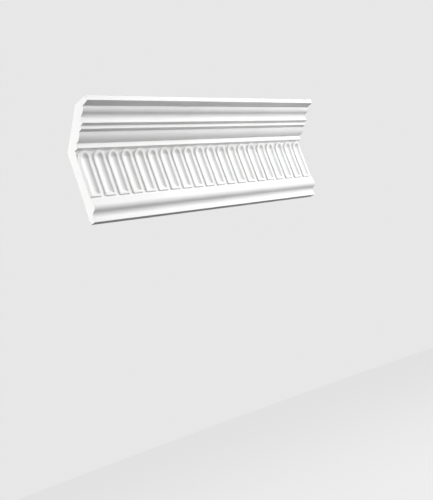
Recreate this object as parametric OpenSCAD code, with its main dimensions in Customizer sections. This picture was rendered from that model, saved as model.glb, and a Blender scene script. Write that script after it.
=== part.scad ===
// A cut length of fluted crown moulding, cast in one piece of rigid foam.
// X runs along the length, the wall is at Y = 0 and the room is towards -Y, +Z is up.
// The origin is the middle of the land that is glued to the wall.

/* [Overall] */
// Length of the piece, cut square at both ends
length = 448; // [60:0.4:2400]
// Height down the wall, from the ceiling to the lower edge
height = 140; // [115:1:220]
// Width of the face that is glued to the ceiling
ceiling_face_w = 24; // [12:1:40]
// Height of the land that is glued to the wall, from the lower edge up
wall_land_h = 25; // [12:1:60]
// Depth of the shallow glue recess behind the wall face, above the land
glue_recess = 1.4; // [0.4:0.1:4]

/* [Lip] */
// Height of the flat front of the lip under the ceiling
lip_h = 6.3; // [3:0.1:12]
// How far the lip stands out beyond the cyma below it
lip_overhang = 11.3; // [6:0.1:20]
// How much lower the underside of the lip is at its back
lip_draft = 1.7; // [0:0.1:2.5]

/* [Cyma] */
// Width of the S-shaped curve, out from its deepest line
cyma_w = 10.7; // [6:0.1:16]
// Height of the S-shaped curve, up from its deepest line
cyma_h = 13.8; // [11:0.1:18]
// Height of the upright face above the curve
cyma_top_h = 0.3; // [0.2:0.1:3]
// How far the lower edge of the curve flares out again from its deepest line
cyma_flare = 1.1; // [0.2:0.1:2]

/* [Steps and ovolo] */
// Width of the underside of each of the two steps
step_w = 6.1; // [2:0.1:10]
// Height of the upright face between the two undersides
step_h = 4.3; // [2:0.1:8]
// How much lower the underside of each step is at its back
step_draft = 0.8; // [0:0.1:1.5]
// Width of the ovolo, out from the wall
ovolo_w = 12.3; // [8:0.1:18]
// Height of the ovolo
ovolo_h = 9.7; // [6:0.1:14]
// Radius of the curve of the ovolo
ovolo_r = 12.6; // [12:0.1:40]

/* [Strip] */
// Height of the flat strip over the flutes
strip_h = 6.6; // [3:0.1:12]
// How far the strip stands out over the ground of the flutes
strip_out = 7.6; // [5:0.1:12]

/* [Flutes] */
// Distance from one flute to the next
flute_pitch = 22.4; // [18:0.1:32]
// Width of the gap between two flutes
flute_gap = 4.6; // [2:0.1:7]
// Distance from the left end to the first flute
first_flute = 0.5; // [0.4:0.1:4]
// Gap between the round head of each flute and the strip over it
head_gap = 2.5; // [0.4:0.1:4]
// Width of the flat rim around each flute
rim_w = 3.2; // [2.2:0.1:4.4]
// How far the rim stands out from the ground
rim_h = 2.4; // [1.6:0.1:3]
// How far the side of the rim leans in, over the height of the rim
rim_draft = 0.3; // [0:0.1:0.4]
// How much further the rims stand out at the height of the strip's underside
lift = 6.4; // [1:0.1:6.8]
// Height under the strip over which the rim curves out
lift_h = 19; // [12:0.5:30]
// Outer radius of the two lower corners of a flute
corner_r = 1.6; // [1.4:0.1:3]
// Depth of the hollow of a flute below the ground
hollow_depth = 0.9; // [0.4:0.1:3]
// Height of the narrow sunk strip under the flutes
sunk_strip_h = 1.3; // [0.6:0.1:5]

/* [Lower band and foot] */
// Height of the flat band under the flutes
band_h = 8.8; // [3:0.1:20]
// How far the lower edge of the band stands out from the ground
band_out = 2.6; // [1.6:0.1:4]
// How far the band leans back towards its upper edge
band_lean = 1.1; // [0:0.1:1.4]
// Radius of the round edge below the band
band_round = 7.9; // [6:0.1:12]
// Radius of the cove between the round edge and the foot
cove_r = 7.7; // [6:0.1:12]
// How far the round edge stands out over the foot
cove_w = 9.1; // [4:0.1:12]
// Thickness of the foot, out from the wall
foot_w = 9.5; // [6:0.1:16]
// Height of the foot below the cove
foot_h = 5.3; // [2:0.1:12]

/* [Hidden] */
// Straight stretches that stand for one round stretch of the outline
arc_steps = 12;
// How far a flute is rooted in the ground behind it
root = 1;
// How far a cutting block reaches past what it cuts
margin = 1;
// Smoothness of the round heads and hollows
$fn = 48;

// Distances out from the wall, from the foot to the lip
cove_out = foot_w + cove_w;
ground_out = cove_out - band_out;
strip_face = ground_out + strip_out;
ovolo_out = strip_face + ovolo_w;
step_out = ovolo_out + step_w;
neck_out = step_out + step_w;
cyma_in = neck_out - cyma_flare;
cyma_out = cyma_in + cyma_w;
projection = cyma_out + lip_overhang;

// The S curve is two equal arcs, each upright at its own end and tangent where they meet;
// the lower one goes on past upright until it has flared out
cyma_r = (cyma_w * cyma_w + cyma_h * cyma_h) / (4 * cyma_w);
cyma_turn = 2 * atan2(cyma_w, cyma_h);
flare_turn = acos((cyma_r - cyma_flare) / cyma_r);

// Heights over the lower edge, from the ceiling down
lip_z = height - lip_h;
soffit_z = lip_z - lip_draft;
cyma_top_z = soffit_z - cyma_top_h;
cyma_in_z = cyma_top_z - cyma_h;
neck_z = cyma_in_z - cyma_r * sin(flare_turn);
step_top_z = neck_z - step_draft;
step_z = step_top_z - step_h;
ovolo_z = step_z - step_draft;
ovolo_end_z = ovolo_z - ovolo_h;
strip_z = ovolo_end_z - strip_h;

// Heights over the lower edge, from the foot up; the cove and the round edge over it are
// arcs, each upright at its own end and tangent where they meet
round_turn = acos(1 - cove_w / (band_round + cove_r));
round_z = foot_h + (band_round + cove_r) * sin(round_turn);
band_z = round_z + band_h;
flute_z = band_z + sunk_strip_h;

// The back: the slant that joins the ceiling face to the wall face is at 45 degrees
slant_z = height - (projection - ceiling_face_w);

// The flutes: half their width outside and inside the rim, the centre of the round head
// and the straight height below it
flute_w = flute_pitch - flute_gap;
flute_half = flute_w / 2;
hollow_half = flute_half - rim_w;
head_z = strip_z - head_gap - flute_half;
leg_h = head_z - flute_z;
flute_count = ceil((length - first_flute) / flute_pitch);

// The front of the rims is upright below and an arc above, until it meets the strip
lift_z = strip_z - lift_h;
lift_r = (lift * lift + lift_h * lift_h) / (2 * lift);
lift_turn = asin(lift_h / lift_r);
front = ground_out + rim_h;

// A flute is drawn as a block this high, which its front is then cut from
block_h = rim_h + lift + margin;
block_lean = rim_draft * block_h / rim_h;

// The hollow of a flute is part of a circle, from edge to edge of the rim
hollow_rise = hollow_depth + rim_h;
hollow_r = (hollow_half * hollow_half + hollow_rise * hollow_rise) / (2 * hollow_rise);

// Points of an arc about c, from angle a to angle b
function arc(c, r, a, b) = [
    for (i = [0:arc_steps])
        let (t = a + (b - a) * i / arc_steps) c + r * [cos(t), sin(t)]
];

// The ovolo bulges from its chord by the arc of its own radius
ovolo_chord = [ovolo_w, ovolo_h];
ovolo_half = norm(ovolo_chord) / 2;
ovolo_slope = atan2(ovolo_h, ovolo_w);
ovolo_turn = asin(ovolo_half / ovolo_r);
ovolo_centre = [ovolo_out, ovolo_z] - ovolo_chord / 2
    + sqrt(ovolo_r * ovolo_r - ovolo_half * ovolo_half) * [-sin(ovolo_slope), cos(ovolo_slope)];

// Outline of the section, as distances out from the wall and heights over the lower edge
function section() = concat(
    [[0, 0], [0, wall_land_h], [glue_recess, wall_land_h], [glue_recess, slant_z + glue_recess]],
    [[projection - ceiling_face_w, height], [projection, height], [projection, lip_z]],
    [[cyma_out, soffit_z]],
    arc([cyma_out - cyma_r, cyma_top_z], cyma_r, 0, -cyma_turn),
    arc([cyma_in + cyma_r, cyma_in_z], cyma_r, 180 - cyma_turn, 180 + flare_turn),
    [[step_out, step_top_z], [step_out, step_z]],
    arc(ovolo_centre, ovolo_r, ovolo_slope - 90 + ovolo_turn, ovolo_slope - 90 - ovolo_turn),
    [[strip_face, strip_z], [ground_out, strip_z], [ground_out, band_z]],
    [[cove_out - band_lean, band_z]],
    arc([cove_out - band_round, round_z], band_round, 0, -round_turn),
    arc([foot_w + cove_r, foot_h], cove_r, 180 - round_turn, 180),
    [[foot_w, 0]]
);

// Half the section of a flute's block, or of its turned corner, out to its foot
module block_half(foot) {
    polygon([[0, -root], [foot, -root], [foot, 0], [foot - block_lean, block_h], [0, block_h]]);
}

// Block of one flute: a round head, straight sides and turned lower corners
module flute_block() {
    rotate_extrude(angle = 180)
        block_half(flute_half);
    for (side = [0, 1])
        mirror([side, 0, 0]) {
            rotate([90, 0, 0])
                linear_extrude(leg_h - corner_r)
                    block_half(flute_half);
            translate([flute_half - corner_r, corner_r - leg_h, 0])
                rotate([0, 0, -90])
                    rotate_extrude(angle = 90)
                        block_half(corner_r);
        }
    translate([corner_r - flute_half, corner_r - leg_h, 0])
        rotate([90, 0, 90])
            linear_extrude(2 * (flute_half - corner_r))
                mirror([1, 0])
                    block_half(corner_r);
}

// Half the section of the hollow: a quarter of its circle, and upright over the circle's centre
module hollow_half_section() {
    intersection() {
        translate([0, hollow_r - hollow_depth])
            circle(r = hollow_r);
        translate([0, -hollow_depth])
            square(hollow_r);
    }
    translate([0, hollow_r - hollow_depth])
        square([hollow_r, block_h]);
}

// Hollow of one flute: part of a ball above, and the same curve across its lower end
module flute_hollow() {
    rotate_extrude(angle = 180)
        hollow_half_section();
    intersection() {
        for (side = [0, 1])
            mirror([side, 0, 0])
                rotate([90, 0, 0])
                    linear_extrude(leg_h)
                        hollow_half_section();
        translate([-flute_half, flute_half - leg_h, 0])
            rotate([90, 0, 90])
                linear_extrude(flute_w) {
                    mirror([1, 0])
                        hollow_half_section();
                    translate([0, -hollow_depth - margin])
                        square([leg_h - flute_half, hollow_depth + margin + block_h]);
                }
    }
}

// Everything behind the common front of the rims, which curves out under the strip
module behind_front() {
    rotate([90, 0, 90])
        linear_extrude(length)
            mirror([1, 0])
                polygon(concat(
                    [[0, band_z], [front, band_z]],
                    arc([front + lift_r, lift_z], lift_r, 180, 180 - lift_turn),
                    [[front + lift, ovolo_end_z], [0, ovolo_end_z]]
                ));
}

// Puts what is drawn flat, with the head's centre at the origin, at every flute
module at_flutes() {
    for (i = [0:flute_count - 1])
        translate([first_flute + flute_half + i * flute_pitch, -ground_out, head_z])
            rotate([90, 0, 0])
                children();
}

// The moulding, with its lower back edge along X from the left end
module moulding() {
    intersection() {
        difference() {
            union() {
                rotate([90, 0, 90])
                    linear_extrude(length)
                        mirror([1, 0])
                            polygon(section());
                intersection() {
                    at_flutes()
                        flute_block();
                    behind_front();
                }
            }
            at_flutes()
                flute_hollow();
        }
        translate([0, -projection - margin, -margin])
            cube([length, projection + 2 * margin, height + 2 * margin]);
    }
}

module cornice() {
    color("whitesmoke")
        translate([-length / 2, 0, -wall_land_h / 2])
            moulding();
}

cornice();
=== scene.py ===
"""The looks of a fluted crown moulding length, built around its packed frame.

The moulding is one casting. Its section is swept along the length with every arris a
little soft, each flute is a set of rings that follow its outline, and the two ends are
cut square. Everything is in metres, in the frame's own axes: X along the length, the
wall at Y = 0 with the room towards -Y, Z up.
"""

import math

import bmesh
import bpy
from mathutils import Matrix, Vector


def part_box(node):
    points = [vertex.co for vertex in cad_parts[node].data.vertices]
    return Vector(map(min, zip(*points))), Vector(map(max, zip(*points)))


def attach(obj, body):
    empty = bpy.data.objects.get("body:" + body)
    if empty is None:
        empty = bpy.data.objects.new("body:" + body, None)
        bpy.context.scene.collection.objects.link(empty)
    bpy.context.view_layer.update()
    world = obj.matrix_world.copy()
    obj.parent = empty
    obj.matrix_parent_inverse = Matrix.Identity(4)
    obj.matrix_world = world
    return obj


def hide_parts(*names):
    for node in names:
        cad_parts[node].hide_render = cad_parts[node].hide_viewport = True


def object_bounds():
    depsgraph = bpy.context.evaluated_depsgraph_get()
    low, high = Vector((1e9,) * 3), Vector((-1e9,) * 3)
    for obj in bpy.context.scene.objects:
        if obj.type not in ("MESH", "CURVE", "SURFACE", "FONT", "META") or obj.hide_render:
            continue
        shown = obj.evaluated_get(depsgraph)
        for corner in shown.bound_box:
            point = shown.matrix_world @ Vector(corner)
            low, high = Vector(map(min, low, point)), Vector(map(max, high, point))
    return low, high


bl_info = {
    "name": "Cornice moulding length",
    "version": (1, 0, 0),
    "blender": (4, 5, 0),
    "location": "3D View > Sidebar > Cornice",
    "description": "A cut length of fluted crown moulding with its finish and a plain studio",
    "category": "Add Mesh",
}

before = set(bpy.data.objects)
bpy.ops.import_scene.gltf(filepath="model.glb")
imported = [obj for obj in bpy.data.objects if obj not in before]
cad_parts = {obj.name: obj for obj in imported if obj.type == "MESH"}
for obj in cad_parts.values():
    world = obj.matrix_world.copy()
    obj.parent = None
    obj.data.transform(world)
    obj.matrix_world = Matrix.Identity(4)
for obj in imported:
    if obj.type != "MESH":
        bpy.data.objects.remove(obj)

CAD_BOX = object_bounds()
NODE = "cornice"
MM = 0.001
# Vertices closer than this are welded, and edges shorter than the speck are dissolved.
WELD = 0.002 * MM
SPECK = WELD / 10
# Corners of the section that turn by less than this lie on a curve and stay as they are.
LEAST_TURN = math.radians(12)
# Faces that turn by more than this from one to the next have a sharp edge between them.
SHARP_EDGE = math.radians(32)
# The finishes, in the order of the moulding's material slots.
FINISHES = ("face", "back", "cut")
# How far round to the right and how far up each lamp stands, in degrees.
LAMPS = {
    "key": (25, 5),
    "right": (50, 5),
    "high": (0, 30),
    "low": (25, -50),
    "end": (-120, 5),
}


# ---------------------------------------------------------------- settings


def distance(name, description, millimetres):
    """A length property whose default is given in millimetres."""
    return bpy.props.FloatProperty(
        name=name,
        description=description,
        default=millimetres * MM,
        min=0.0,
        precision=4,
        subtype="DISTANCE",
        unit="LENGTH",
    )


def share(name, description, default):
    """A plain number between 0 and 1."""
    return bpy.props.FloatProperty(
        name=name,
        description=description,
        default=default,
        min=0.0,
        max=1.0,
        subtype="FACTOR",
    )


def colour(name, description, default):
    """A scene linear colour."""
    return bpy.props.FloatVectorProperty(
        name=name,
        description=description,
        default=default,
        min=0.0,
        max=1.0,
        size=3,
        subtype="COLOR",
    )


def angle(name, description, degrees):
    """An angle property whose default is given in degrees."""
    return bpy.props.FloatProperty(
        name=name,
        description=description,
        default=math.radians(degrees),
        subtype="ANGLE",
        unit="ROTATION",
    )


def number(name, description, default):
    """A plain number of any size, such as a lamp's power."""
    return bpy.props.FloatProperty(name=name, description=description, default=default)


def count(name, description, default):
    """A whole number of steps."""
    return bpy.props.IntProperty(name=name, description=description, default=default, min=1)


class CorniceSection(bpy.types.PropertyGroup):
    """Sizes of the section; its height and projection come from the frame."""

    ceiling_face: distance("Ceiling face", "Width of the face that is glued to the ceiling", 24)
    wall_land: distance("Wall land", "Height of the land that is glued to the wall", 25)
    glue_recess: distance("Glue recess", "Depth of the recess behind the wall face", 1.4)
    lip_height: distance("Lip height", "Height of the flat front of the lip", 6.3)
    lip_draft: distance("Lip draft", "How much lower the underside of the lip is at its back", 1.7)
    cyma_top: distance("Cyma top", "Height of the upright face above the S curve", 0.3)
    cyma_width: distance("Cyma width", "Width of the S curve from its deepest line", 10.7)
    cyma_height: distance("Cyma height", "Height of the S curve from its deepest line", 13.8)
    cyma_flare: distance("Cyma flare", "How far the lower edge of the S curve flares out", 1.1)
    step_width: distance("Step width", "Width of the underside of each step", 6.1)
    step_height: distance("Step height", "Height of the upright face between the steps", 4.3)
    step_draft: distance("Step draft", "How much lower each step's underside is at its back", 0.8)
    ovolo_width: distance("Ovolo width", "Width of the ovolo, out from the wall", 12.3)
    ovolo_height: distance("Ovolo height", "Height of the ovolo", 9.7)
    ovolo_radius: distance("Ovolo radius", "Radius of the curve of the ovolo", 12.6)
    strip_height: distance("Strip height", "Height of the flat strip over the flutes", 6.6)
    strip_out: distance("Strip depth", "How far the strip stands out over the ground", 7.6)
    sunk_strip: distance("Sunk strip", "Height of the narrow sunk strip under the flutes", 1.3)
    band_height: distance("Band height", "Height of the flat band under the flutes", 8.8)
    band_out: distance("Band depth", "How far the band's lower edge stands out", 2.6)
    band_lean: distance("Band lean", "How far the band leans back towards its top", 1.1)
    band_round: distance("Band round", "Radius of the round edge below the band", 7.9)
    cove_radius: distance("Cove radius", "Radius of the cove over the foot", 7.7)
    cove_width: distance("Cove width", "How far the round edge stands out over the foot", 9.1)
    foot_width: distance("Foot width", "Thickness of the foot, out from the wall", 9.5)
    foot_height: distance("Foot height", "Height of the foot below the cove", 5.3)
    arris: distance("Arris", "Radius of the soft edges left by the mould and the primer", 0.35)
    end_arris: distance("Cut arris", "Width of the rubbed edge around each cut end", 0.15)
    curve_steps: count("Curve steps", "Straight stretches in each curve of the section", 14)
    arris_steps: count("Arris steps", "Straight stretches in each soft edge", 4)
    columns: count("Columns", "Stretches of the sweep between two flutes", 2)


class CorniceFlutes(bpy.types.PropertyGroup):
    """Sizes of the flutes and how finely they are drawn."""

    pitch: distance("Pitch", "Distance from one flute to the next", 22.4)
    gap: distance("Gap", "Width of the gap between two flutes", 4.6)
    first: distance("First flute", "Distance from the left end to the first flute", 0.5)
    head_gap: distance("Head gap", "Gap between a flute's round head and the strip", 2.5)
    rim_width: distance("Rim width", "Width of the flat rim around each flute", 3.2)
    rim_height: distance("Rim height", "How far the rim stands out from the ground", 2.4)
    rim_draft: distance("Rim draft", "How far the rim's outer side leans in", 0.3)
    outer_round: distance("Outer round", "Radius of the rim's outer edge", 0.8)
    inner_round: distance("Inner round", "Radius of the rim's inner edge", 1.8)
    hollow: distance("Hollow", "Depth of the hollow below the ground", 0.9)
    lift: distance("Lift", "How much further the rim would stand out where it meets the strip", 6.4)
    lift_height: distance("Lift height", "Height under the strip over which the rim curves out", 19)
    lift_share: share("Hollow lift", "How much of the lift the middle of the hollow takes", 0.4)
    base_round: distance("Base round", "Radius where the rim meets the ground", 0.3)
    corner: distance("Lower corner", "Outer radius of the flute's lower corners", 1.6)
    crease: distance("Crease", "Least radius of the inner lower corners", 0.15)
    head_steps: count("Head steps", "Stretches around the round head", 36)
    leg_steps: count("Leg steps", "Stretches down each leg", 8)
    corner_steps: count("Corner steps", "Half of the stretches around each lower corner", 2)
    foot_steps: count("Foot steps", "Stretches along the straight lower end", 8)
    base_steps: count("Base steps", "Rings where the rim meets the ground", 3)
    bead_steps: count("Edge steps", "Rings over each round edge of the rim", 5)
    hollow_steps: count("Hollow steps", "Rings down into the hollow", 12)


class CorniceFinish(bpy.types.PropertyGroup):
    """Colours and textures of the primed face, the glued back and the cut ends."""

    primer: colour("Primer", "The white primer on the face", (0.88, 0.88, 0.878))
    primer_thin: colour("Thin primer", "The primer where it lies thinner", (0.84, 0.84, 0.836))
    back: colour("Back", "The moulded skin of the glued back", (0.80, 0.79, 0.765))
    back_worn: colour("Rubbed back", "The back where it is sanded for the glue", (0.87, 0.86, 0.835))
    cut: colour("Cut foam", "The fine foam of the cut ends", (0.90, 0.898, 0.893))
    # Painted shade: a darker colour laid in the hollow of each foam cell.
    cut_cell: colour("Foam cells", "The shaded cells of the cut foam", (0.84, 0.836, 0.828))
    roughness: share("Roughness", "Roughness of the matt primer", 0.55)
    back_roughness: share("Back roughness", "Roughness of the back", 0.7)
    cut_roughness: share("Cut roughness", "Roughness of the cut foam", 0.9)
    stipple: distance("Stipple", "Grain of the sprayed primer", 0.9)
    stipple_depth: distance("Stipple depth", "Depth of the primer's grain", 0.05)
    cell: distance("Foam cell", "Size of the cells in the cut foam", 0.5)
    cell_depth: distance("Cell depth", "Depth of the cells in the cut foam", 0.12)
    drift: distance("Drift", "Size of the slow drifts in tone", 60)


class CorniceStage(bpy.types.PropertyGroup):
    """The camera, the lamps and the floor."""

    camera_offset: bpy.props.FloatVectorProperty(
        name="Camera offset",
        description="Camera from the lower back corner of the left end",
        default=(-0.5878, -0.7379, -0.2295),
        size=3,
        subtype="TRANSLATION",
        unit="LENGTH",
    )
    camera_turn: angle("Camera turn", "How far the view is turned to the right of square on", 46.7)
    camera_tilt: angle("Camera tilt", "How far the view looks up", 9.0)
    camera_roll: angle("Camera roll", "How far the camera is rolled clockwise", 19.88)
    lens: number("Lens", "Focal length in millimetres on a 36 mm sensor", 56.5)
    floor_drop: distance("Floor drop", "How far the floor lies under the moulding", 480)
    floor_radius: distance("Floor radius", "Radius of the flat part of the floor", 4000)
    floor_sides: count("Floor sides", "Sides of the floor's round edge", 96)
    floor_roughness: share("Floor roughness", "Roughness of the floor", 0.9)
    floor_colour: colour("Floor", "The pale floor", (0.16, 0.16, 0.16))
    floor_glow: colour("Floor glow", "Light of its own, which keeps it even", (0.66, 0.66, 0.66))
    horizon: share("Horizon", "How far below level the upper light fades out", 0.06)
    backdrop: colour("Backdrop", "The room as the camera sees it", (0.80, 0.80, 0.80))
    sky: colour("Upper light", "Light from the upper half of the room", (0.41, 0.41, 0.41))
    ground: colour("Lower light", "Light from the lower half of the room", (0.0, 0.0, 0.0))
    lamp_size: distance("Lamp size", "Width of each square lamp", 900)
    lamp_distance: distance("Lamp distance", "Distance of each lamp from the moulding", 1600)
    key_power: number("Key power", "Power of the main lamp, to the right in front", 13.8)
    right_power: number("Right power", "Power of the lamp further to the right", 9.6)
    high_power: number("High power", "Power of the lamp above the front", 6.1)
    low_power: number("Low power", "Power of the lamp below the front", 2.7)
    end_power: number("End power", "Power of the lamp beyond the left end", 23.0)


# ------------------------------------------------------------ plain shapes


def arc(centre, radius, start, end, steps):
    """Points of an arc from one angle to another, in degrees."""
    turns = [math.radians(start + (end - start) * i / steps) for i in range(steps + 1)]
    return [Vector(centre) + radius * Vector((math.cos(t), math.sin(t))) for t in turns]


def softened(before, corner, after, radius, steps):
    """A corner as a small round of that radius, which takes up less than half of either side."""
    most = 0.45
    back, on = before - corner, after - corner
    half = back.angle(on) / 2
    reach = min(radius / math.tan(half), most * back.length, most * on.length)
    radius = reach * math.tan(half)
    back.normalize()
    on.normalize()
    centre = corner + (back + on).normalized() * radius / math.sin(half)
    first = (corner + back * reach - centre).normalized()
    last = (corner + on * reach - centre).normalized()
    return [centre + radius * first.slerp(last, i / steps) for i in range(steps + 1)]


# ------------------------------------------------------------- the section


class Section:
    """Lines of the section, as distances out from the wall and up from the lower edge."""

    def __init__(self, s):
        low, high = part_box(NODE)
        self.origin = Vector((0.0, high.y, low.z))
        self.left, self.right = low.x, high.x
        self.height = high.z - low.z
        self.projection = high.y - low.y
        self.cove_out = s.foot_width + s.cove_width
        radii = s.band_round + s.cove_radius
        self.round_turn = math.degrees(math.acos(1 - s.cove_width / radii))
        self.round_up = s.foot_height + radii * math.sin(math.radians(self.round_turn))
        self.ground_out = self.cove_out - s.band_out
        self.band_up = self.round_up + s.band_height
        self.flute_up = self.band_up + s.sunk_strip
        self.strip_out = self.ground_out + s.strip_out
        self.ovolo_out = self.strip_out + s.ovolo_width
        self.step_out = self.ovolo_out + s.step_width
        neck_out = self.step_out + s.step_width
        self.cyma_in = neck_out - s.cyma_flare
        self.cyma_out = self.cyma_in + s.cyma_width
        self.soffit_up = self.height - s.lip_height - s.lip_draft
        self.cyma_up = self.soffit_up - s.cyma_top
        self.cyma_low = self.cyma_up - s.cyma_height
        self.cyma_radius = (s.cyma_width**2 + s.cyma_height**2) / (4 * s.cyma_width)
        self.cyma_turn = math.degrees(2 * math.atan2(s.cyma_width, s.cyma_height))
        self.flare_turn = math.degrees(math.acos(1 - s.cyma_flare / self.cyma_radius))
        neck_up = self.cyma_low - self.cyma_radius * math.sin(math.radians(self.flare_turn))
        self.step_top = neck_up - s.step_draft
        self.step_up = self.step_top - s.step_height
        self.ovolo_up = self.step_up - s.step_draft
        self.strip_up = self.ovolo_up - s.ovolo_height - s.strip_height
        # The slant rises at 45 degrees from the recess to the ceiling face.
        self.slant_up = self.height - (self.projection - s.ceiling_face) + s.glue_recess

    def place(self, along, out, up):
        """A point of the section as a point in the frame."""
        return self.origin + Vector((along, -out, up))


def ovolo_points(line, s):
    """The flat curve of the ovolo, from its outer edge down to the strip."""
    chord = Vector((s.ovolo_width, s.ovolo_height))
    slope = math.atan2(chord.y, chord.x)
    half = chord.length / 2
    rise = math.sqrt(s.ovolo_radius**2 - half**2)
    middle = Vector((line.ovolo_out, line.ovolo_up)) - chord / 2
    centre = middle + rise * Vector((-math.sin(slope), math.cos(slope)))
    turn = math.degrees(math.asin(half / s.ovolo_radius))
    facing = math.degrees(slope) - 90
    return arc(centre, s.ovolo_radius, facing + turn, facing - turn, s.curve_steps)


def outline(line, s):
    """The section from the top of the band, down, round the back and up to the strip.

    Each entry is a point and the finish that starts there.
    """
    steps = s.curve_steps
    upper_centre = (line.cyma_out - line.cyma_radius, line.cyma_up)
    lower_centre = (line.cyma_in + line.cyma_radius, line.cyma_low)
    radius, turn = line.cyma_radius, line.cyma_turn
    s_curve = arc(upper_centre, radius, 0, -turn, steps)
    s_curve += arc(lower_centre, radius, 180 - turn, 180 + line.flare_turn, steps)[1:]
    round_centre = (line.cove_out - s.band_round, line.round_up)
    cove_centre = (s.foot_width + s.cove_radius, s.foot_height)
    ogee = arc(round_centre, s.band_round, 0, -line.round_turn, steps)
    ogee += arc(cove_centre, s.cove_radius, 180 - line.round_turn, 180, steps)[1:]
    stretches = [
        ("face", [(line.ground_out, line.band_up), (line.cove_out - s.band_lean, line.band_up)]),
        ("face", ogee),
        ("face", [(s.foot_width, 0)]),
        ("back", [(0, 0), (0, s.wall_land)]),
        ("back", [(s.glue_recess, s.wall_land), (s.glue_recess, line.slant_up)]),
        ("back", [(line.projection - s.ceiling_face, line.height)]),
        ("face", [(line.projection, line.height), (line.projection, line.height - s.lip_height)]),
        ("face", [(line.cyma_out, line.soffit_up)]),
        ("face", s_curve),
        ("face", [(line.step_out, line.step_top), (line.step_out, line.step_up)]),
        ("face", ovolo_points(line, s)),
        ("face", [(line.strip_out, line.strip_up), (line.ground_out, line.strip_up)]),
    ]
    return [(Vector(point), finish) for finish, points in stretches for point in points]


def swept_line(line, s):
    """The outline with soft corners, less the two corners that the flutes' ground ends in."""
    corners = outline(line, s)
    points = []
    for i in range(1, len(corners) - 1):
        before, (corner, finish), after = corners[i - 1][0], corners[i], corners[i + 1][0]
        bend = math.pi - (before - corner).angle(after - corner)
        if bend < LEAST_TURN:
            points.append((corner, finish))
            continue
        soft = softened(before, corner, after, s.arris, s.arris_steps)
        points += [(point, corners[i - 1][1]) for point in soft[:-1]]
        points.append((soft[-1], finish))
    return points


# -------------------------------------------------------------- the flutes


class Flute:
    """One flute, drawn flat: across from its middle line and up from its head's centre."""

    def __init__(self, line, f):
        self.f = f
        self.half = (f.pitch - f.gap) / 2
        self.head_up = line.strip_up - f.head_gap - self.half
        self.top = line.strip_up - self.head_up
        self.foot = line.flute_up - self.head_up
        self.bottom = line.band_up - self.head_up

    def rings(self):
        """Every ring as its inset, how far it stands out and its share of the lift."""
        f = self.f
        lean = math.degrees(math.atan2(f.rim_draft, f.rim_height))
        base = f.base_round * math.tan(math.radians(45 - lean / 2))
        edge = f.rim_draft + f.outer_round * math.tan(math.radians(45 - lean / 2))
        reach = self.half - f.rim_width
        depth = f.rim_height + f.hollow
        radius = (reach**2 + depth**2) / (2 * depth)
        centre = f.rim_height - depth + radius
        drop = centre - f.rim_height + f.inner_round
        turn = math.degrees(math.acos(drop / (radius + f.inner_round)))
        crest = self.half - (radius + f.inner_round) * math.sin(math.radians(turn))
        outer_centre = (edge, f.rim_height - f.outer_round)
        inner_centre = (crest, f.rim_height - f.inner_round)
        rings = arc((-base, f.base_round), f.base_round, -90, -lean, f.base_steps)
        rings += arc(outer_centre, f.outer_round, 180 - lean, 90, f.bead_steps)
        rings += arc(inner_centre, f.inner_round, 90, 90 - turn, f.bead_steps)
        hollow = arc((self.half, centre), radius, 270 - turn, 270, f.hollow_steps)[1:]
        shares = [0.0] * (f.base_steps + 1) + [1.0] * (2 * f.bead_steps + 2)
        shares += [1 - (1 - f.lift_share) * i / f.hollow_steps for i in range(1, f.hollow_steps + 1)]
        return [(inset, out, part) for (inset, out), part in zip(rings + hollow, shares)]

    def lifted(self, up):
        """How much further out the rim stands at that height, as it curves out under the strip."""
        f = self.f
        return f.lift * max(0.0, 1 - (self.top - up) / f.lift_height) ** 2

    def contour(self, inset):
        """The outline set in by that much, round from the right of the head."""
        f = self.f
        half = self.half - inset
        corner = min(max(f.corner - inset, f.crease), half)
        low = self.foot + inset
        left_turn = arc((corner - half, low + corner), corner, 180, 270, 2 * f.corner_steps)
        right_turn = arc((half - corner, low + corner), corner, 270, 360, 2 * f.corner_steps)
        legs = [(low + corner) * i / f.leg_steps for i in range(1, f.leg_steps)]
        across = [(half - corner) * (2 * i / f.foot_steps - 1) for i in range(1, f.foot_steps)]
        points = arc((0, 0), half, 0, 180, f.head_steps)
        points += [Vector((-half, up)) for up in legs]
        points += left_turn
        points += [Vector((x, low)) for x in across]
        points += right_turn
        points += [Vector((half, up)) for up in reversed(legs)]
        return points

    def border(self, left, right):
        """The edge of the flute's cell, point for point beside its outer contour."""
        f = self.f
        outer = self.contour(0)
        # This many stretches of the head face each side of the cell, and the rest its top.
        quarter = round(math.degrees(math.atan2(self.top, self.half)) / 180 * f.head_steps)
        points = []
        for i in range(f.head_steps + 1):
            if i <= quarter:
                points.append(Vector((right, self.top * i / quarter)))
            elif i >= f.head_steps - quarter:
                points.append(Vector((left, self.top * (f.head_steps - i) / quarter)))
            else:
                span = (i - quarter) / (f.head_steps - 2 * quarter)
                points.append(Vector((right + (left - right) * span, self.top)))
        left_turn = f.head_steps + f.leg_steps
        right_turn = left_turn + 2 * f.corner_steps + f.foot_steps
        for i in range(f.head_steps + 1, len(outer)):
            if i < left_turn + f.corner_steps:
                points.append(Vector((left, outer[i].y)))
            elif i == left_turn + f.corner_steps:
                points.append(Vector((left, self.bottom)))
            elif i < right_turn + f.corner_steps:
                points.append(Vector((outer[i].x, self.bottom)))
            elif i == right_turn + f.corner_steps:
                points.append(Vector((right, self.bottom)))
            else:
                points.append(Vector((right, outer[i].y)))
        return points


# ------------------------------------------------------- building the mesh


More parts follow.
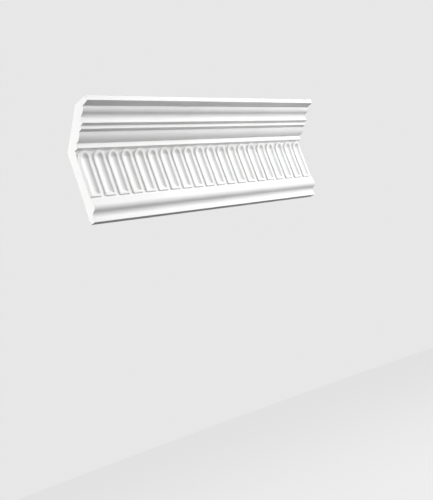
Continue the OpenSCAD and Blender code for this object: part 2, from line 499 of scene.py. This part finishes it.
class Builder:
    """Collects the faces of the moulding in one mesh."""

    def __init__(self, line):
        self.line = line
        self.bm = bmesh.new()

    def row(self, points):
        """New vertices at those points (along, out, up)."""
        return [self.bm.verts.new(self.line.place(*point)) for point in points]

    def face(self, corners, finish="face"):
        """A face through those vertices, each used once."""
        made = self.bm.faces.new(list(dict.fromkeys(corners)))
        made.smooth = True
        made.material_index = FINISHES.index(finish)

    def bridge(self, first, second, closed=False, finish="face"):
        """Four-sided faces between two rows with as many vertices."""
        number = len(first)
        for i in range(number if closed else number - 1):
            j = (i + 1) % number
            self.face((first[i], first[j], second[j], second[i]), finish)

    def lace(self, first, second):
        """Triangles between two rows of different numbers that run the same way along X."""
        i = j = 0
        while i < len(first) - 1 or j < len(second) - 1:
            ahead = j == len(second) - 1 or (
                i < len(first) - 1 and first[i + 1].co.x <= second[j + 1].co.x
            )
            if ahead:
                self.face((first[i], first[i + 1], second[j]))
                i += 1
            else:
                self.face((first[i], second[j + 1], second[j]))
                j += 1


def add_flutes(build, line, f, start, end):
    """Every flute in its cell; returns the rows of the cells' top, bottom and end edges."""
    flute = Flute(line, f)
    rings = flute.rings()
    number = round((end - start) / f.pitch)
    first = line.left + f.first + flute.half
    top, bottom = [], []
    for i in range(number):
        middle = first + i * f.pitch
        left = start if i == 0 else middle - f.pitch / 2
        right = end if i == number - 1 else middle + f.pitch / 2
        edge = flute.border(left - middle, right - middle)
        rows = [build.row([(middle + p.x, line.ground_out, flute.head_up + p.y) for p in edge])]
        for inset, out, part in rings:
            places = [
                (middle + p.x, line.ground_out + out + part * flute.lifted(p.y), flute.head_up + p.y)
                for p in flute.contour(inset)
            ]
            rows.append(build.row(places))
        for outer, inner in zip(rows, rows[1:]):
            build.bridge(outer, inner, closed=True)
        top += [v for v, p in zip(rows[0], edge) if abs(p.y - flute.top) < WELD]
        bottom += [v for v, p in zip(rows[0], edge) if abs(p.y - flute.bottom) < WELD]
    return top, bottom


def add_sweep(build, line, s, f, start, end):
    """The rest of the section, swept between the two ends; returns its first and last rows."""
    points = swept_line(line, s)
    number = round((end - start) / f.pitch) * s.columns
    stations = [start + (end - start) * i / number for i in range(number + 1)]
    rows = [build.row([(x, point.x, point.y) for x in stations]) for point, _ in points]
    for (_, finish), low, high in zip(points, rows, rows[1:]):
        build.bridge(low, high, finish=finish)
    return rows[0], rows[-1]


def loop_at(build, along):
    """The open edge of the mesh at one end, as vertices in order."""
    def on_end(v):
        return abs(v.co.x - along) < WELD

    edges = [e for e in build.bm.edges if e.is_boundary and all(on_end(v) for v in e.verts)]
    neighbours = {}
    for edge in edges:
        for v in edge.verts:
            neighbours.setdefault(v, []).append(edge.other_vert(v))
    start = edges[0].verts[0]
    loop, last = [start], None
    while True:
        step = [v for v in neighbours[loop[-1]] if v is not last]
        if step[0] is start or len(loop) > len(neighbours):
            return loop
        last = loop[-1]
        loop.append(step[0])


def add_end(build, line, s, along, outward):
    """A square cut end with a narrow rubbed edge around it."""
    loop = loop_at(build, along)
    flat = [Vector((v.co.y, v.co.z)) for v in loop]
    area = sum(a.cross(b) for a, b in zip(flat, flat[1:] + flat[:1]))
    side = 1 if area > 0 else -1
    least_lean = 0.5
    ring = []
    for before, point, after in zip(flat[-1:] + flat[:-1], flat, flat[1:] + flat[:1]):
        towards = (point - before).normalized() + (after - point).normalized()
        inward = Vector((-towards.y, towards.x)).normalized() * side
        lean = max(least_lean, inward.cross((after - point).normalized()) * -side)
        place = point + inward * s.end_arris / lean
        ring.append(build.bm.verts.new((along + outward * s.end_arris, place.x, place.y)))
    build.bridge(loop, ring, closed=True, finish="cut")
    cap = build.bm.faces.new(ring)
    cap.material_index = FINISHES.index("cut")
    cap.normal_update()
    bmesh.ops.triangulate(build.bm, faces=[cap])


def moulding_mesh(scene):
    """The whole moulding as one closed mesh."""
    s, f = scene.cornice_section, scene.cornice_flutes
    line = Section(s)
    build = Builder(line)
    start, end = line.left + s.end_arris, line.right - s.end_arris
    top, bottom = add_flutes(build, line, f, start, end)
    low, high = add_sweep(build, line, s, f, start, end)
    build.lace(sorted(top, key=lambda v: v.co.x), high)
    build.lace(sorted(bottom, key=lambda v: v.co.x), low)
    bmesh.ops.remove_doubles(build.bm, verts=build.bm.verts, dist=WELD)
    add_end(build, line, s, start, -1)
    add_end(build, line, s, end, 1)
    bmesh.ops.dissolve_degenerate(build.bm, edges=build.bm.edges, dist=SPECK)
    bmesh.ops.recalc_face_normals(build.bm, faces=build.bm.faces)
    open_edges = [e for e in build.bm.edges if not e.is_manifold]
    if open_edges:
        raise RuntimeError(f"the moulding's mesh has {len(open_edges)} open edges")
    mesh = bpy.data.meshes.new(NODE)
    build.bm.to_mesh(mesh)
    build.bm.free()
    return mesh


# ------------------------------------------------------------- the finish


class Wire:
    """A shader socket that takes part in Python sums."""

    def __init__(self, shader, socket):
        self.shader = shader
        self.socket = socket

    def maths(self, operation, *values):
        """A Math node on these values."""
        sockets = {str(i): value for i, value in enumerate(values)}
        return self.shader.node("ShaderNodeMath", {"operation": operation}, **sockets)

    def __add__(self, other):
        return self.maths("ADD", self, other)

    def __radd__(self, other):
        return self.maths("ADD", other, self)

    def __mul__(self, other):
        return self.maths("MULTIPLY", self, other)

    def __rmul__(self, other):
        return self.maths("MULTIPLY", other, self)


class Shader:
    """The nodes of a material or a world, and the ones that are added to them."""

    def __init__(self, owner):
        owner.use_nodes = True
        self.owner = owner
        self.tree = owner.node_tree
        surfaces = ("BSDF_PRINCIPLED", "BACKGROUND")
        self.surface = next(n for n in self.tree.nodes if n.type in surfaces)

    def node(self, kind, settings=None, output=0, **inputs):
        """A node of that type, its settings, then its sockets by name or number."""
        made = self.tree.nodes.new(kind)
        for name, value in (settings or {}).items():
            setattr(made, name, value)
        for name, value in inputs.items():
            self.put(made.inputs[int(name) if name.isdigit() else name.replace("_", " ")], value)
        return Wire(self, made.outputs[output])

    def put(self, socket, value):
        """Links a wire to a socket, or sets its plain value."""
        if isinstance(value, Wire):
            self.tree.links.new(value.socket, socket)
        elif hasattr(value, "__len__") and len(value) == 3 and socket.type == "RGBA":
            socket.default_value = (*value, 1.0)
        else:
            socket.default_value = value

    def set(self, **inputs):
        """Values or wires on the surface's own sockets."""
        for name, value in inputs.items():
            self.put(self.surface.inputs[name.replace("_", " ")], value)

    def place(self):
        """Where a point lies on the object."""
        return self.node("ShaderNodeTexCoord", output="Object")

    def noise(self, size, detail=2.0, roughness=0.5):
        """A soft random value whose features are about that size."""
        return self.node(
            "ShaderNodeTexNoise",
            Vector=self.place(),
            Scale=1 / size,
            Detail=detail,
            Roughness=roughness,
        )

    def cells(self, size):
        """The distance to the middle of the nearest cell, in cells of that size."""
        return self.node("ShaderNodeTexVoronoi", Vector=self.place(), Scale=1 / size)

    def ramp(self, wire, low, high):
        """0 below low, 1 above high and smooth between them."""
        return self.node(
            "ShaderNodeMapRange",
            {"interpolation_type": "SMOOTHSTEP"},
            Value=wire,
            From_Min=low,
            From_Max=high,
        )

    def blend(self, factor, first, second):
        """A colour between two colours."""
        # A Mix node's colour sockets share their names with others, so they go by number.
        sockets = {"0": factor, "6": first, "7": second}
        return self.node("ShaderNodeMix", {"data_type": "RGBA"}, output=2, **sockets)

    def bump(self, height, depth):
        """A normal from a height between 0 and 1 that stands for that depth."""
        return self.node("ShaderNodeBump", Height=height, Distance=depth, Strength=1.0)


def primed_face(c):
    """White primer sprayed over the moulded foam: matt, faintly stippled, a little uneven."""
    shader = Shader(bpy.data.materials.new("primed_face"))
    drift = shader.noise(c.drift, detail=3.0)
    grain = shader.noise(c.stipple, detail=3.0, roughness=0.6)
    grain_share = 0.3
    spread = 0.16
    thin = shader.ramp(drift * (1 - grain_share) + grain * grain_share, low=0.35, high=0.7)
    shader.set(
        Base_Color=shader.blend(thin, c.primer, c.primer_thin),
        Roughness=grain * spread + (c.roughness - spread / 2),
        Normal=shader.bump(grain, c.stipple_depth),
    )
    return shader.owner


def glued_back(c):
    """The moulded skin of the back, sanded in places for the glue."""
    shader = Shader(bpy.data.materials.new("glued_back"))
    patch, coarse = c.drift / 2, c.stipple * 1.5
    drift = shader.noise(patch, detail=4.0, roughness=0.6)
    grain = shader.noise(coarse, detail=4.0, roughness=0.7)
    grain_share = 0.25
    rubbed = 0.15
    coarse_depth = c.stipple_depth * 2
    sanded = shader.ramp(drift + grain * grain_share, low=0.5, high=0.75)
    shader.set(
        Base_Color=shader.blend(sanded, c.back, c.back_worn),
        Roughness=sanded * rubbed + c.back_roughness,
        Normal=shader.bump(grain, coarse_depth),
    )
    return shader.owner


def cut_foam(c):
    """The cut ends: fine closed cells with painted shade in the hollow of each cell and a faint
    random tone.
    """
    shader = Shader(bpy.data.materials.new("cut_foam"))
    cells = shader.cells(c.cell)
    cloud = c.drift / 4
    drift = shader.noise(cloud, detail=3.0)
    drift_share = 0.2
    # Painted shade: the darker colour falls where the cell's bump is deepest. The drift only adds
    # random tone.
    hollow = shader.ramp(cells + drift * drift_share, low=0.3, high=0.8)
    shader.set(
        Base_Color=shader.blend(hollow, c.cut_cell, c.cut),
        Roughness=c.cut_roughness,
        Normal=shader.bump(cells, c.cell_depth),
    )
    return shader.owner


# -------------------------------------------------------------- the stage


def camera_turned(turn, tilt, roll):
    """A camera that looks along +Y, turned right, tilted up and rolled clockwise."""
    reach = math.cos(tilt)
    forward = Vector((math.sin(turn) * reach, math.cos(turn) * reach, math.sin(tilt)))
    level = forward.cross(Vector((0, 0, 1))).normalized()
    upright = level.cross(forward)
    right = level * math.cos(roll) - upright * math.sin(roll)
    up = level * math.sin(roll) + upright * math.cos(roll)
    return Matrix((right, up, -forward)).transposed()


def lamp(stage, name, turn, tilt, power):
    """A square soft lamp that faces the middle of the moulding, from those degrees round and up."""
    middle = (CAD_BOX[0] + CAD_BOX[1]) / 2
    turn, tilt = math.radians(turn), math.radians(tilt)
    reach = math.cos(tilt)
    away = Vector((math.sin(turn) * reach, -math.cos(turn) * reach, math.sin(tilt)))
    light = bpy.data.lights.new(name, "AREA")
    light.shape = "SQUARE"
    light.size = stage.lamp_size
    light.energy = power
    placed = bpy.data.objects.new(name, light)
    placed.location = middle + away * stage.lamp_distance
    placed.rotation_euler = away.to_track_quat("Z", "Y").to_euler()
    bpy.context.scene.collection.objects.link(placed)


def room_light(stage):
    """Even light from the upper half of the room, which looks the same pale colour all round."""
    shader = Shader(bpy.data.worlds.new("room"))
    way = shader.node("ShaderNodeTexCoord", output="Generated")
    up = shader.node("ShaderNodeSeparateXYZ", output="Z", Vector=way)
    halves = shader.blend(shader.ramp(up, low=-stage.horizon, high=0.0), stage.ground, stage.sky)
    seen = shader.node("ShaderNodeLightPath", output="Is Camera Ray")
    shader.set(Color=shader.blend(seen, halves, stage.backdrop))
    bpy.context.scene.world = shader.owner


def add_floor(stage):
    """A wide pale floor under the moulding."""
    bm = bmesh.new()
    bmesh.ops.create_circle(bm, cap_ends=True, radius=stage.floor_radius, segments=stage.floor_sides)
    mesh = bpy.data.meshes.new("floor")
    bm.to_mesh(mesh)
    bm.free()
    floor = bpy.data.objects.new("floor", mesh)
    floor.location.z = CAD_BOX[0].z - stage.floor_drop
    shader = Shader(bpy.data.materials.new("pale_floor"))
    shader.set(Base_Color=stage.floor_colour, Roughness=stage.floor_roughness)
    shader.set(Emission_Color=stage.floor_glow, Emission_Strength=1.0)
    mesh.materials.append(shader.owner)
    bpy.context.scene.collection.objects.link(floor)
    # It gives the moulding no light, and no shadow of the low lamp, which stands under it.
    floor.visible_diffuse = floor.visible_shadow = False


# -------------------------------------------------------------- operators


class CORNICE_OT_add_moulding(bpy.types.Operator):
    """Add the moulding with its primed face, glued back and cut ends"""

    bl_idname = "cornice.add_moulding"
    bl_label = "Add Moulding"

    def execute(self, context):
        scene = context.scene
        piece = bpy.data.objects.new("moulding", moulding_mesh(scene))
        for finish in (primed_face, glued_back, cut_foam):
            piece.data.materials.append(finish(scene.cornice_finish))
        piece.data.set_sharp_from_angle(angle=SHARP_EDGE)
        scene.collection.objects.link(piece)
        weighted = piece.modifiers.new("flat faces stay flat", "WEIGHTED_NORMAL")
        weighted.keep_sharp = True
        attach(piece, "root")
        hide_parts(NODE)
        return {"FINISHED"}


class CORNICE_OT_add_stage(bpy.types.Operator):
    """Add the camera, the soft lamps, the room's light and the floor"""

    bl_idname = "cornice.add_stage"
    bl_label = "Add Stage"

    def execute(self, context):
        scene = context.scene
        stage = scene.cornice_stage
        scene.view_settings.view_transform = "Standard"
        data = bpy.data.cameras.new("camera")
        data.lens = stage.lens
        camera = bpy.data.objects.new("camera", data)
        turned = camera_turned(stage.camera_turn, stage.camera_tilt, stage.camera_roll)
        low, high = CAD_BOX
        eye = Vector((low.x, high.y, low.z)) + Vector(stage.camera_offset)
        camera.matrix_world = Matrix.Translation(eye) @ turned.to_4x4()
        scene.collection.objects.link(camera)
        scene.camera = camera
        room_light(stage)
        for name, (turn, tilt) in LAMPS.items():
            lamp(stage, name, turn, tilt, getattr(stage, f"{name}_power"))
        add_floor(stage)
        return {"FINISHED"}


class CORNICE_PT_panel(bpy.types.Panel):
    """Sizes, finish and stage of the moulding"""

    bl_idname = "CORNICE_PT_panel"
    bl_label = "Cornice"
    bl_space_type = "VIEW_3D"
    bl_region_type = "UI"
    bl_category = "Cornice"

    def draw(self, context):
        for name in GROUPS:
            settings = getattr(context.scene, name)
            box = self.layout.box()
            box.label(text=type(settings).__doc__)
            for key in type(settings).__annotations__:
                box.prop(settings, key)
        for operator in OPERATORS:
            self.layout.operator(operator.bl_idname)


GROUPS = {
    "cornice_section": CorniceSection,
    "cornice_flutes": CorniceFlutes,
    "cornice_finish": CorniceFinish,
    "cornice_stage": CorniceStage,
}
OPERATORS = (CORNICE_OT_add_moulding, CORNICE_OT_add_stage)
CLASSES = (*GROUPS.values(), *OPERATORS, CORNICE_PT_panel)


def register():
    for made in CLASSES:
        bpy.utils.register_class(made)
    for name, group in GROUPS.items():
        setattr(bpy.types.Scene, name, bpy.props.PointerProperty(type=group))


def unregister():
    for name in GROUPS:
        delattr(bpy.types.Scene, name)
    for made in reversed(CLASSES):
        bpy.utils.unregister_class(made)


def main():
    """Builds the moulding and its stage."""
    register()
    bpy.ops.cornice.add_moulding()
    bpy.ops.cornice.add_stage()


if __name__ == "__main__":
    main()
